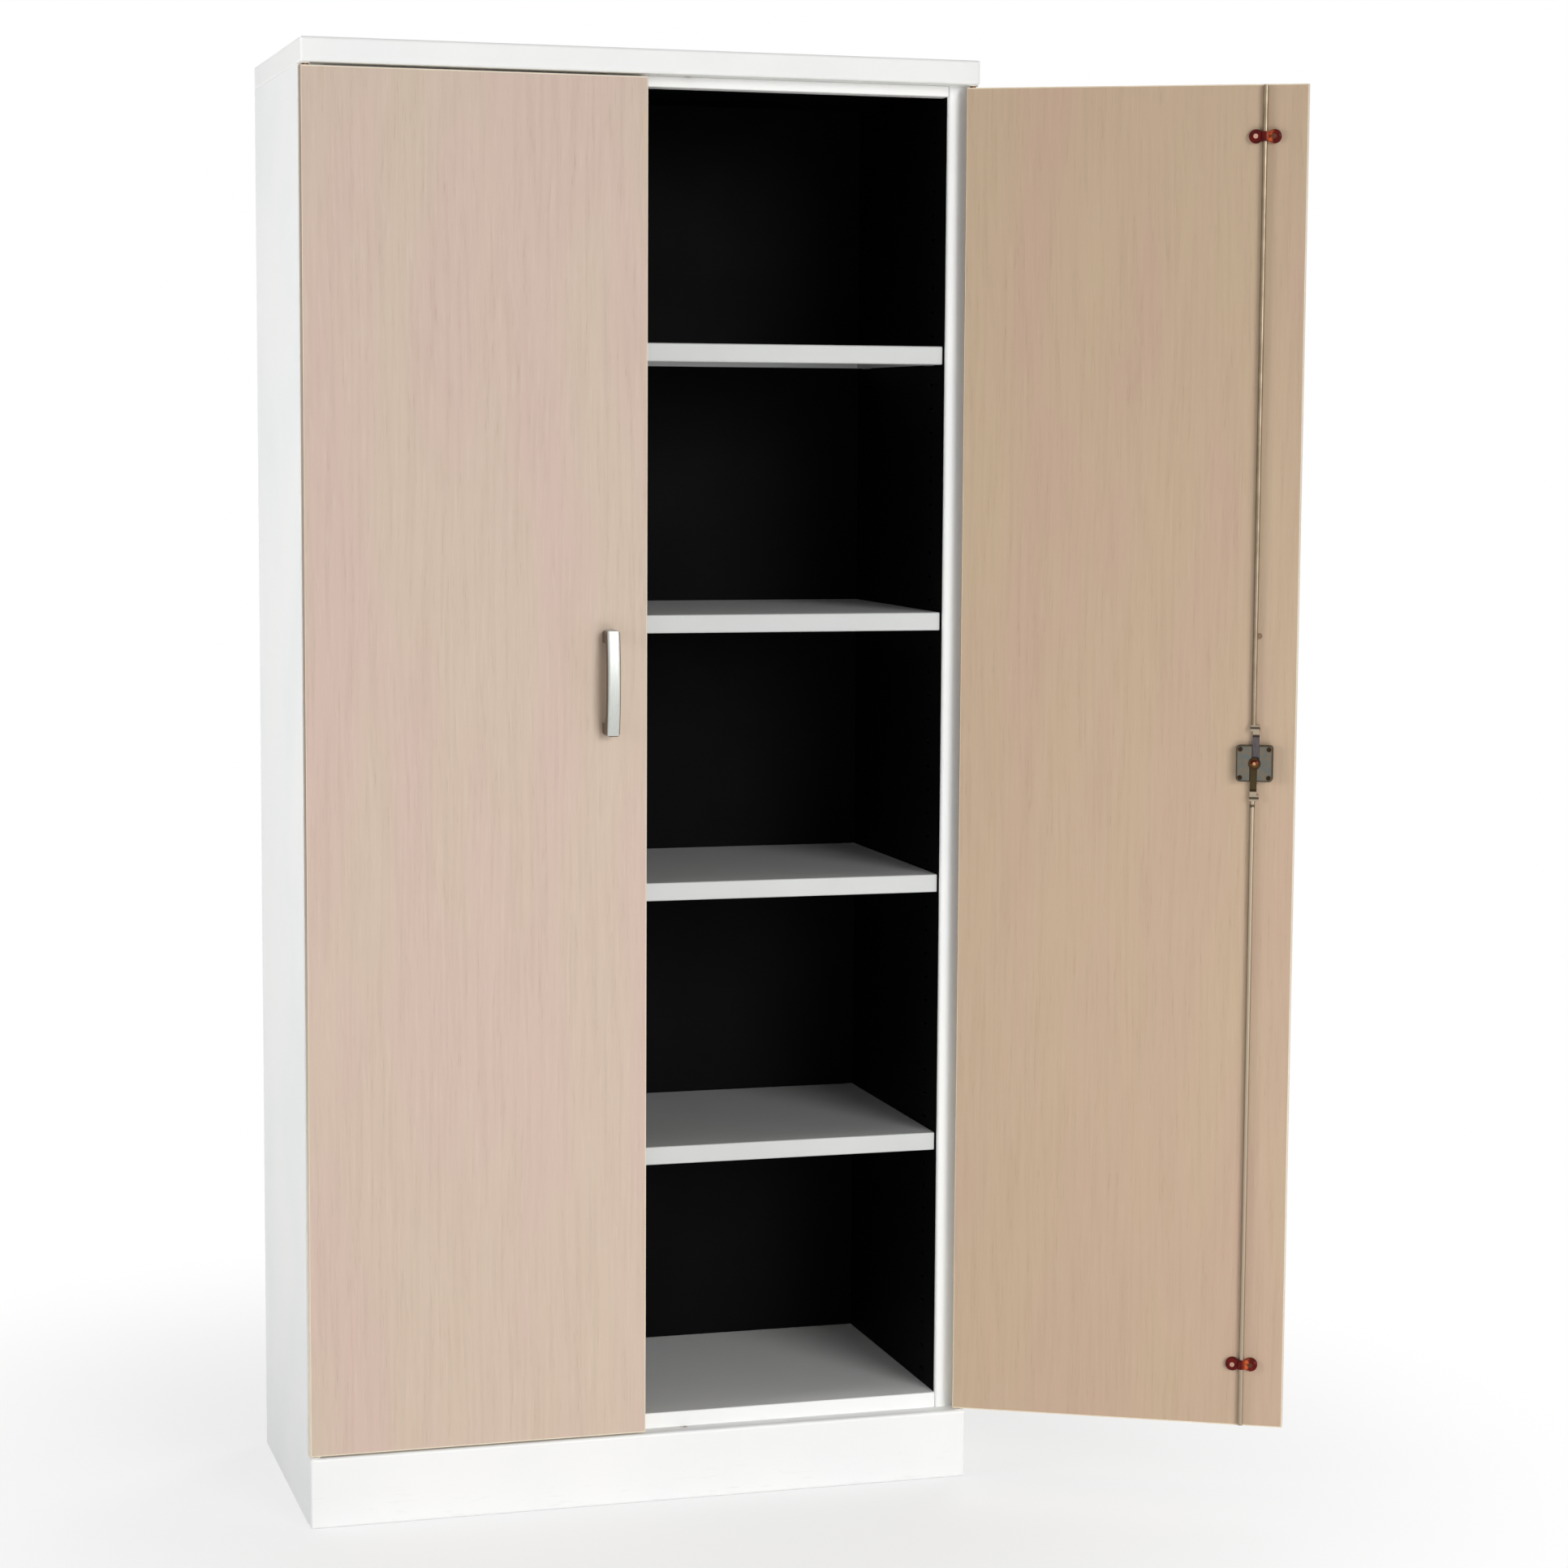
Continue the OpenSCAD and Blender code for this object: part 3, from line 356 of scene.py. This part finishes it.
def oak_board(name, hinge, turn):
    """The oak decor, with a painted shade that makes the inner face of the door darker and
    warmer.
    """
    material, field, shader = start_finish(name, IOR=1.45)
    place = door_place(field, hinge, turn)
    inner = along(place, "Y").rise(hinge[1] - tint_edge, hinge[1] + tint_edge)
    wander = grain(place, wander_size, stretch=(1, 1, 3), detail=1.0) - 0.5
    drift = {"X": wander * wander_reach, "Y": 0.0, "Z": 0.0}
    drift = place.node("ShaderNodeCombineXYZ", {}, drift)
    place = place.node("ShaderNodeVectorMath", {"operation": "ADD"}, {0: place, 1: drift})
    bands = grain(place, band_w, band_draw)
    streaks = grain(place, streak_w, streak_draw)
    fibres = grain(place, fibre_w, fibre_draw, detail=1.0)
    pores = grain(place, pore_w, pore_draw, detail=1.0)
    crowded = pores_between + (1 - pores_between) * streaks.rise(low=0.42, high=0.62)
    dark = pores.rise(low=0.60, high=0.74) * crowded
    pale = (1 - fibres).rise(low=0.56, high=0.74)
    streaked = streaks.rise(low=0.35, high=0.8)
    tone = two_tone(bands, oak_yellow, oak_pink, low=0.34, high=0.66)
    tone = blend_shades(streaked * streak_share, tone, linear(oak_pore))
    tone = blend_shades(pale * fibre_share, tone, linear(oak_light))
    tone = blend_shades(dark * pore_share, tone, linear(oak_pore))
    # A painted shade makes the inner face darker and warmer.
    tone = blend_shades(inner, tone, inner_face_shade, "MULTIPLY")
    rough = vary(oak_dullness + pore_dullness * dark, fibres, spread=0.08)
    normal = relief(1 - dark, strength=0.25, depth=pore_depth)
    feed(shader, Base_Color=tone, Roughness=rough, Normal=normal)
    return material


wear(oak_board("left_oak", left_hinge, 0.0), "left_door_panel")
wear(oak_board("right_oak", right_hinge, right_turn), "right_door_panel")


# Door edging: all four edges of a board are lipped with cream plastic, 1.5 mm thick, with
# its corners rounded over by the machine. The scraper leaves faint lines along it. The
# hinge side has a painted brown shade, darkest high up and fading towards the bottom.

edging_cream, edging_cloud = (232, 219, 196), (226, 211, 188)
edging_line = (206, 188, 160)
edging_painted_shade = (120, 94, 74)
edge_shade_low, edge_shade_high = 0.1, 0.95
scraped_share, edge_shade_share = 0.25, 0.9
edging_dullness = 0.42


def facing_on_door(field, turn):
    """The way a surface faces on a door, as if the door were closed."""
    settings = {"rotation_type": "Z_AXIS"}
    sockets = {"Vector": field.node("ShaderNodeTexCoord", {}, {}, "Normal"), "Angle": turn}
    return field.node("ShaderNodeVectorRotate", settings, sockets)


def edging(name, hinge, turn):
    """Cream lipping with fine lines along it, and a painted brown shade high on its hinge side.
    """
    material, field, shader = start_finish(name, IOR=1.48)
    place = door_place(field, hinge, turn)
    lines = grain(place, size=0.0011, stretch=(1, 1, 60), detail=1.0)
    cloud = grain(place, size=0.03, stretch=(1, 1, 6))
    scraped = lines.rise(low=0.5, high=0.8)
    # The hinge side of the edging gets a painted brown shade, darkest high up.
    outward = along(facing_on_door(field, turn), "X") * math.copysign(1, hinge[0])
    high_up = along(place, "Z").rise(edge_shade_low, edge_shade_high)
    edge_shade_mask = outward.rise(low=0.3, high=0.7) * high_up
    tone = two_tone(cloud, edging_cream, edging_cloud)
    tone = blend_shades(scraped * scraped_share, tone, linear(edging_line))
    tone = blend_shades(edge_shade_mask * edge_shade_share, tone, linear(edging_painted_shade))
    rough = vary(edging_dullness, lines, spread=0.12)
    normal = relief(lines, strength=0.12, depth=0.0001)
    feed(shader, Base_Color=tone, Roughness=rough, Normal=normal)
    return material


wear(edging("left_edging", left_hinge, 0.0), "left_door_edging")
wear(edging("right_edging", right_hinge, right_turn), "right_door_edging")


# Handles: one bow handle to a door, cast in aluminium, brushed along its length and
# lacquered to a satin silver. Two screws hold it through the board, with their heads on the
# inner face.

satin_silver, satin_line = (190, 192, 187), (180, 183, 178)
satin_flank_shade = (94, 78, 64)
satin_dullness = 0.36
screw_bronze, bronze_tint = (156, 130, 108), (138, 113, 93)


def satin(name, turn):
    """Silver lacquer over aluminium brushed upright, with painted brown shade on flanks and
    underside.
    """
    material, field, shader = start_finish(name, Metallic=0.3)
    place = place_on(field)
    lines = grain(place, size=0.0007, stretch=(1, 1, 40))
    cloud = grain(place, size=0.02)
    facing = facing_on_door(field, turn)
    sideways = abs(along(facing, "X"))
    # The flanks and the underside get a painted brown shade.
    turned = sideways.math("MAXIMUM", sideways, 0 - along(facing, "Z"))
    tone = two_tone(lines, satin_silver, satin_line, low=0.35)
    tone = blend_shades(turned.rise(low=0.45, high=0.9), tone, linear(satin_flank_shade))
    rough = vary(vary(satin_dullness, lines, spread=0.12), cloud, spread=0.06)
    normal = relief(lines, strength=0.10, depth=0.0001)
    feed(shader, Base_Color=tone, Roughness=rough, Normal=normal)
    return material


wear(satin("left_satin", 0.0), "left_handle")
wear(satin("right_satin", right_turn), "right_handle")
bronzed = plated("handle_screws", screw_bronze, bronze_tint, dullness=0.36, spot=0.004)
wear(bronzed, "left_handle_screws", "right_handle_screws")


# Pivot pins: a dark brown steel pin is let into the top and the bottom edge of each
# door near its hinge side, and turns in a bush.

pin_brown, pin_tint = (126, 90, 58), (106, 74, 46)
pin_steel = plated("pin_steel", pin_brown, pin_tint, dullness=0.36, spot=0.006)
wear(pin_steel, "left_pivot_pins", "right_pivot_pins")


# Bolts of the left door: two short bolts in zinc plated housings hold the left door shut at
# its top and bottom. Each housing is screwed to the inner face with four small dark screws.

bolt_grey, bolt_blue = (132, 134, 133), (116, 121, 123)
burnt_brown, burnt_tint = (66, 50, 32), (50, 38, 25)
drawn_steel, drawn_tint = (152, 138, 118), (138, 124, 104)
bolt_zinc = plated("bolt_zinc", bolt_grey, bolt_blue, dullness=0.4)
dark_steel = plated("burnished_screws", burnt_brown, burnt_tint, dullness=0.34, spot=0.004)
bright_steel = plated("bright_steel", drawn_steel, drawn_tint, dullness=0.38, spot=0.02)
wear(bolt_zinc, "bolt_housings")
wear(dark_steel, "bolt_screws")
wear(bright_steel, "upper_bolt", "lower_bolt")


# Lock: a zinc die cast case, with a painted dark shade round its rim, is screwed to the inner
# face with four dark screws. Its hub is a turned disc with a brass boss, which carries a
# painted highlight in its middle and a painted dark reflection above it. The nickel plated
# cylinder sits in the front of the door with the key in its plug.

case_zinc, case_blue, case_rim_shade = (120, 109, 92), (102, 106, 104), (62, 53, 38)
hub_brown, hub_tint = (80, 60, 42), (58, 42, 30)
boss_highlight, boss_dark_reflection, boss_below = (196, 150, 118), (70, 28, 18), (98, 70, 36)
nickel_grey, nickel_tint = (196, 192, 186), (182, 180, 176)
plug_yellow, plug_tint = (206, 178, 116), (190, 160, 98)
lock_half = 0.025
rim_in, rim_out = 0.003, 0.0005
rim_shade_share = 0.8
boss_split_low, boss_split_high = -0.0012, 0.0006
highlight_in, highlight_out = 0.0014, 0.0030
hinge_pin = Vector(right_hinge)
boss_low, boss_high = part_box("hub_boss")
boss_reach = (Vector(boss_low) + Vector(boss_high)) / 2 - hinge_pin
lock_axis = Matrix.Rotation(right_turn, 3, "Z") @ boss_reach + hinge_pin


def start_by_lock(name, **constants):
    """A new material for a fitting of the right door, its shader and the place on it."""
    material, field, shader = start_finish(name, **constants)
    return material, shader, door_place(field, right_hinge, right_turn)


def beside_lock(place):
    """How far a place on the closed right door lies from the lock towards the hinge."""
    return along(place, "X") - lock_axis.x


def above_lock(place):
    """How far a place on the closed right door lies above the lock."""
    return along(place, "Z") - lock_axis.z


def rim_shaded_case(name, dullness):
    """Grey zinc, clouded blue, with a painted dark shade within 3 mm of its outline."""
    material, shader, place = start_by_lock(name, Metallic=1.0)
    across, up = abs(beside_lock(place)), abs(above_lock(place))
    outline = across.math("MAXIMUM", across, up)
    # A painted shade darkens the case within 3 mm of its outline.
    rim = outline.rise(lock_half - rim_in, lock_half - rim_out)
    cloud = grain(place, size=0.008, detail=3.0)
    skin = grain(place, plate_skin)
    tone = two_tone(cloud, case_zinc, case_blue)
    tone = blend_shades(rim * rim_shade_share, tone, linear(case_rim_shade))
    rough = vary(vary(dullness, cloud, spread=0.16), skin, spread=0.1)
    normal = relief(skin, strength=0.12, depth=0.0001)
    feed(shader, Base_Color=tone, Roughness=rough, Normal=normal)
    return material


def boss_with_painted_light(name, dullness):
    """Brown brass with a painted highlight in a round middle spot and a painted dark reflection
    above.
    """
    material, shader, place = start_by_lock(name, Metallic=1.0)
    skin = grain(place, plate_skin)
    beside, above = beside_lock(place), above_lock(place)
    # The spot is a painted highlight, and the dark tone above the middle a painted reflection.
    spot = 1 - distance(beside, above).rise(highlight_in, highlight_out)
    tone = two_tone(above, boss_below, boss_dark_reflection, boss_split_low, boss_split_high)
    tone = blend_shades(spot, tone, linear(boss_highlight))
    rough = vary(dullness, skin, spread=0.1)
    normal = relief(skin, strength=0.1, depth=0.0001)
    feed(shader, Base_Color=tone, Roughness=rough, Normal=normal)
    return material


nickel = plated("cylinder_nickel", nickel_grey, nickel_tint, dullness=0.18, spot=0.01)
plug_brass = plated("plug_brass", plug_yellow, plug_tint, dullness=0.26, spot=0.005)
wear(rim_shaded_case("lock_zinc", dullness=0.4), "lock_case")
wear(dark_steel, "lock_screws")
wear(plated("hub_zinc", hub_brown, hub_tint, dullness=0.34, spot=0.006), "lock_hub")
wear(boss_with_painted_light("boss_brass", dullness=0.3), "hub_boss")
wear(nickel, "lock_cylinder", "key")
wear(plug_brass, "key_plug")


# Rods and their links: two bright drawn rods run from the lock to the top and the bottom
# of the right door. Each is hooked to the hub with a stamped link, dark beside the case and
# rolled round the rod with two grooves in painted dark shade. Past 40 mm from the lock the
# links carry a painted highlight, and the lower rod, with one such groove, turns pale too.

rod_groove_shade = (70, 58, 40)
upper_link_grey, upper_link_dark = (100, 94, 96), (48, 38, 32)
lower_link_brown, lower_link_dark = (78, 66, 44), (46, 36, 22)
pale_steel_and_highlight = (172, 158, 138)
pale_from, pale_to = 0.037, 0.040
lower_rod_groove = 0.0587
upper_link_grooves = (0.0375, 0.0485)
lower_link_grooves = (0.0375, 0.0478)
rod_groove_half, link_groove_half = 0.0022, 0.002
groove_core, groove_flank = 0.4, 1.3
groove_depth = 0.0008
groove_shade_share, drawn_share = 0.85, 0.3
rod_dullness, groove_dullness = 0.32, 0.2


def grooved(name, shade, dark_shade, grooves, groove_half):
    """Steel with grooves in painted dark shade above and below the lock, and pale past 40 mm
    from it.
    """
    material, shader, place = start_by_lock(name, Metallic=1.0)
    away = abs(above_lock(place))
    lines = grain(place, size=0.0012, stretch=(1, 1, 8))
    core, flank = groove_half * groove_core, groove_half * groove_flank
    sunk = sum(1 - abs(away - groove).rise(core, flank) for groove in grooves)
    # Past 40 mm from the lock the steel turns pale, a painted highlight on the ends of the
    # links.
    pale_past = away.rise(pale_from, pale_to)
    drawn = lines.rise(low=0.35, high=0.7) * drawn_share
    tone = blend_shades(drawn, linear(shade), linear(dark_shade))
    tone = blend_shades(pale_past, tone, linear(pale_steel_and_highlight))
    # A painted dark shade in the grooves.
    tone = blend_shades(sunk * groove_shade_share, tone, linear(dark_shade))
    rough = vary(rod_dullness, lines, spread=0.12) + groove_dullness * sunk
    normal = relief(1 - sunk, strength=0.6, depth=groove_depth)
    feed(shader, Base_Color=tone, Roughness=rough, Normal=normal)
    return material


lower_rod = grooved(
    "grooved_rod", drawn_steel, rod_groove_shade, [lower_rod_groove], rod_groove_half
)
upper_link = grooved(
    "upper_link", upper_link_grey, upper_link_dark, upper_link_grooves, link_groove_half
)
lower_link = grooved(
    "lower_link", lower_link_brown, lower_link_dark, lower_link_grooves, link_groove_half
)
wear(bright_steel, "upper_rod")
wear(lower_rod, "lower_rod")
wear(upper_link, "upper_rod_link")
wear(lower_link, "lower_rod_link")


# Rod guides: each rod runs in a glossy brown guide of moulded plastic, with a painted amber
# highlight beside the rod. Two steel screws hold it, with a painted highlight on the one in
# the lobe towards the hinge.

guide_red, guide_dark, guide_highlight = (104, 20, 14), (72, 12, 12), (232, 112, 62)
screw_highlight, screw_dull = (206, 160, 140), (100, 66, 50)
rod_beside = 0.0023
highlight_beside_rod = 0.0068
highlight_half = 0.0064
highlight_share = 0.75
swirl_reach = 0.004


def guide_plastic(name, dullness):
    """Brown moulded plastic with a painted amber highlight in a wavy band beside the rod."""
    sheen = {"Specular_IOR_Level": 0.06, "Coat_Weight": 0.12, "Coat_Roughness": 0.06}
    material, shader, place = start_by_lock(name, IOR=1.5, **sheen)
    flow = grain(place, size=0.006)
    swirl = grain(place, size=0.0045, detail=3.0)
    wavy = vary(beside_lock(place), swirl, spread=swirl_reach)
    # A painted amber highlight in a wavy band beside the rod.
    highlight_band = 1 - abs(wavy - rod_beside + highlight_beside_rod).rise(0.0, highlight_half)
    amber_highlight = highlight_band * swirl.rise(low=0.3, high=0.62) * highlight_share
    tone = two_tone(flow, guide_red, guide_dark)
    tone = blend_shades(amber_highlight, tone, linear(guide_highlight))
    rough = vary(dullness, flow, spread=0.1)
    normal = relief(flow, strength=0.08, depth=0.0002)
    feed(shader, Base_Color=tone, Roughness=rough, Normal=normal)
    return material


def highlit_screws(name, dullness):
    """Steel screws with a painted highlight in the lobe towards the hinge, and brown in the
    other.
    """
    material, shader, place = start_by_lock(name, Metallic=1.0)
    skin = grain(place, plate_skin)
    beside = beside_lock(place)
    # A painted highlight on the screw in the lobe towards the hinge.
    tone = two_tone(beside, screw_dull, screw_highlight, low=0.0, high=2 * rod_beside)
    rough = vary(dullness, skin, spread=0.1)
    normal = relief(skin, strength=0.1, depth=0.0001)
    feed(shader, Base_Color=tone, Roughness=rough, Normal=normal)
    return material


wear(guide_plastic("guide_brown", dullness=0.28), "upper_rod_guide", "lower_rod_guide")
wear(highlit_screws("guide_screws", dullness=0.3), "guide_screws")


# Studio: a pale floor that fades into white under soft light, with a key on the right, a
# fill on the left, low, top and rear lamps and an even white room. The camera stands where
# the photograph was taken from.

room_strength = 0.16
floor_half = 30
floor_grey = (0.85, 0.85, 0.85, 1)
white = (1, 1, 1, 1)
near_glow = 0.66
shadow_core, shadow_reach = 0.5, 1.5
lamps_aim = Vector((0, 0, 1))


def lamp(name, kind, around, strength, softness, mirrored=False):
    """A lamp aimed at the cabinet. Around is its azimuth in degrees from the front to the
    right, its distance and its height, and softness its radius, or a sun's angle."""
    azimuth, reach, height = around
    light = bpy.data.lights.new(name, kind)
    light.energy = strength
    if kind == "SUN":
        light.angle = math.radians(softness)
    else:
        light.shadow_soft_size = softness
    holder = bpy.data.objects.new(name, light)
    bpy.context.scene.collection.objects.link(holder)
    turn = math.radians(azimuth)
    holder.location = (reach * math.sin(turn), -reach * math.cos(turn), height)
    holder.visible_glossy = mirrored
    holder.rotation_euler = (holder.location - lamps_aim).to_track_quat("Z", "Y").to_euler()


def seen_plainly(field):
    """1 for what the camera or a reflection shows, and 0 for the light that falls."""
    rays = ("Is Camera Ray", "Is Glossy Ray", "Is Transmission Ray")
    shown = sum(field.node("ShaderNodeLightPath", {}, {}, ray) for ray in rays)
    return shown.math("MINIMUM", shown, 1.0)


lamp("key_light", "SUN", (18, 6.0, 2.39), strength=1.42, softness=26, mirrored=True)
lamp("fill_light", "POINT", (-80, 3.2, 1.65), strength=170, softness=0.7)
lamp("low_light", "POINT", (15, 2.4, 0.3), strength=64, softness=0.8)
lamp("top_light", "POINT", (0, 0.0, 4.6), strength=55, softness=0.8)
lamp("rear_light", "POINT", (142, 3.4, 1.65), strength=190, softness=0.8)

floor_mesh = bpy.data.meshes.new("floor")
corners = [(x, y, 0) for x, y in ((-1, -1), (1, -1), (1, 1), (-1, 1))]
floor_mesh.from_pydata([Vector(c) * floor_half for c in corners], [], [(0, 1, 2, 3)])
floor = bpy.data.objects.new("floor", floor_mesh)
bpy.context.scene.collection.objects.link(floor)
floor_finish, field, shader = start_finish(
    "floor_finish", Base_Color=floor_grey, Roughness=0.9, Specular_IOR_Level=0.0
)
glow = field.node("ShaderNodeEmission", {}, {"Color": white, "Strength": 1.0})
lit = Field(floor_finish.node_tree, shader.outputs["BSDF"])
ground = place_on(field)
away = ground.node("ShaderNodeVectorMath", {"operation": "LENGTH"}, {0: ground}, "Value")
fade = near_glow + (1 - near_glow) * away.rise(shadow_core, shadow_reach)
share = seen_plainly(field) * fade
mixed = field.node("ShaderNodeMixShader", {}, {0: share, 1: lit, 2: glow})
floor_out = floor_finish.node_tree.nodes["Material Output"]
floor_finish.node_tree.links.new(mixed.socket, floor_out.inputs["Surface"])
floor_mesh.materials.append(floor_finish)

room = bpy.data.worlds.new("room")
bpy.context.scene.world = room
room.use_nodes = True
air = Field(room.node_tree)
backdrop = room.node_tree.nodes["Background"]
backdrop.inputs["Color"].default_value = white
strength = room_strength + (1 - room_strength) * seen_plainly(air)
room.node_tree.links.new(strength.socket, backdrop.inputs["Strength"])

camera_place = (-1.155, -4.815, 1.481)
camera_yaw = -16.319
camera_pitch = -5.794
camera_roll = 0.349
camera_lens = 80.74
camera_sensor = 36
camera_reach = 100
level_tilt = 90
view_data = bpy.data.cameras.new("camera")
view_data.sensor_width = camera_sensor
view_data.lens = camera_lens
view_data.clip_end = camera_reach
camera = bpy.data.objects.new("camera", view_data)
bpy.context.scene.collection.objects.link(camera)
camera.matrix_world = (
    Matrix.Translation(camera_place)
    @ Matrix.Rotation(math.radians(camera_yaw), 4, "Z")
    @ Matrix.Rotation(math.radians(level_tilt + camera_pitch), 4, "X")
    @ Matrix.Rotation(math.radians(camera_roll), 4, "Z")
)
bpy.context.scene.camera = camera
bpy.context.scene.view_settings.view_transform = "Standard"
